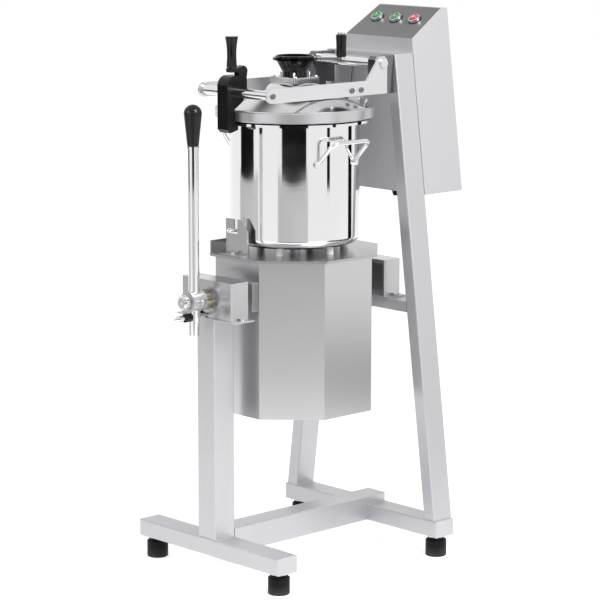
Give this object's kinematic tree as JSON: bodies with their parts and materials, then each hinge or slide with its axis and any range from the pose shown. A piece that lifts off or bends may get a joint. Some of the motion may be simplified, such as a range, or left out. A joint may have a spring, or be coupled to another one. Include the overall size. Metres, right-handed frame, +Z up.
{
  "type": "bowl cutter",
  "caption": "Floor-standing bowl cutter: tilting motor housing and steel bowl in a tube frame, hinged lid on two arms with latch, funnel and crank, rear control box.",
  "frame": {"origin": "on the floor, in the middle of the machine's outline", "axes": "+X to the operator's right, +Y from the operator to the rear frame, +Z up"},
  "size_m": [0.522, 0.7674, 1.2835],
  "materials": {
    "painted_frame": "satin",
    "brushed_sheet": "brushed",
    "polished_bowl": "polished",
    "satin_cast": "satin",
    "bright_fittings": "polished",
    "dark_steel": "satin",
    "black_grip": "gloss",
    "black_rubber": "matte",
    "white_pad": "matte",
    "bronze": "satin",
    "green_lens": "gloss",
    "red_lens": "gloss"
  },
  "bodies": {
    "frame": {"front_foot_tube": "painted_frame", "front_post": "painted_frame", "spine_beam": "painted_frame", "rear_foot_tubes": "painted_frame", "rear_leg_left": "painted_frame", "rear_leg_right": "painted_frame", "rear_crossbar": "painted_frame", "top_rail": "painted_frame", "rubber_feet": "black_rubber", "bearing_bases": "painted_frame", "front_bearing_box": "brushed_sheet", "rear_bearing_box": "brushed_sheet", "trunnion_bushes": "bronze", "base_bolts": "bright_fittings", "control_box": "brushed_sheet", "control_box_cover": "brushed_sheet", "contactor": "white_pad", "cable_gland": "black_grip", "button_bezels": "bright_fittings", "hinge_blocks": "dark_steel", "pivot_tube": "polished_bowl", "pivot_bolts": "bright_fittings"},
    "tilting_unit": {"motor_housing": "brushed_sheet", "housing_floor": "brushed_sheet", "deck_plate": "brushed_sheet", "motor": "dark_steel", "flange_plates": "brushed_sheet", "trunnion_shafts": "bright_fittings", "bowl_catch": "brushed_sheet", "bowl_pads": "white_pad", "lever_hub": "satin_cast", "lever_rod": "polished_bowl", "lever_grip": "black_grip", "hub_fasteners": "bright_fittings", "plunger_sleeve": "black_grip"},
    "index_pin": {"plunger_pin": "bright_fittings"},
    "knife_rotor": {"drive_shaft": "bright_fittings", "knife_hub": "polished_bowl", "knives": "bright_fittings"},
    "bowl": {"bowl": "polished_bowl", "bowl_handles": "polished_bowl"},
    "lid": {"lid_arm_left": "satin_cast", "lid_arm_right": "satin_cast", "cross_tube": "polished_bowl", "arm_bolts": "bright_fittings", "lid_brackets": "brushed_sheet", "lid_dome": "polished_bowl", "lid_rim": "satin_cast", "lid_gasket": "black_rubber", "funnel_block": "polished_bowl", "lid_stud": "satin_cast"},
    "crank": {"funnel": "black_grip", "crank_arm_bar": "bright_fittings", "wiper": "white_pad"},
    "crank_grip": {"crank_grip": "black_grip"},
    "latch": {"latch": "black_grip", "latch_grip": "black_grip"},
    "green_button_left": {"green_button_left": "green_lens"},
    "green_button_middle": {"green_button_middle": "green_lens"},
    "red_button": {"red_button": "red_lens"}
  },
  "joints": [
    {"name": "bowl_tilt", "type": "hinge", "parent": "frame", "child": "tilting_unit", "pos_m": [0, -0.01625, 0.65], "axis": [0, 1, 0], "range_deg": [0, 28]},
    {"name": "index_pin_slide", "type": "slide", "parent": "tilting_unit", "child": "index_pin", "axis": [0, 1, 0], "range_m": [0, 0.008]},
    {"name": "knife_spin", "type": "hinge", "parent": "tilting_unit", "child": "knife_rotor", "pos_m": [0, -0.01625, 0.75], "axis": [0, 0, 1], "continuous": true},
    {"name": "bowl_lock", "type": "hinge", "parent": "tilting_unit", "child": "bowl", "pos_m": [0, -0.01625, 0.755], "axis": [0, 0, 1], "range_deg": [0, 8]},
    {"name": "lid_swing", "type": "hinge", "parent": "frame", "child": "lid", "pos_m": [0, 0.15375, 1.1655], "axis": [-1, 0, 0], "range_deg": [0, 80]},
    {"name": "crank_turn", "type": "hinge", "parent": "lid", "child": "crank", "pos_m": [0, -0.01625, 1.13], "axis": [0, 0, 1], "continuous": true},
    {"name": "crank_grip_spin", "type": "hinge", "parent": "crank", "child": "crank_grip", "pos_m": [0.07297, 0.062, 1.2], "axis": [0, 0, 1], "continuous": true},
    {"name": "latch_turn", "type": "hinge", "parent": "lid", "child": "latch", "pos_m": [0, -0.19325, 1.112], "axis": [-1, 0, 0], "range_deg": [0, 25]},
    {"name": "green_button_left_press", "type": "slide", "parent": "frame", "child": "green_button_left", "axis": [0, 0.534, -0.8455], "range_m": [0, 0.004], "stiffness_N_per_m": 400},
    {"name": "green_button_middle_press", "type": "slide", "parent": "frame", "child": "green_button_middle", "axis": [0, 0.534, -0.8455], "range_m": [0, 0.004], "stiffness_N_per_m": 400},
    {"name": "red_button_press", "type": "slide", "parent": "frame", "child": "red_button", "axis": [0, 0.534, -0.8455], "range_m": [0, 0.004], "stiffness_N_per_m": 400}
  ],
  "couplings": [
    {"joint": "lid_swing", "follows": "bowl_tilt", "ratio": 2.85}
  ]
}
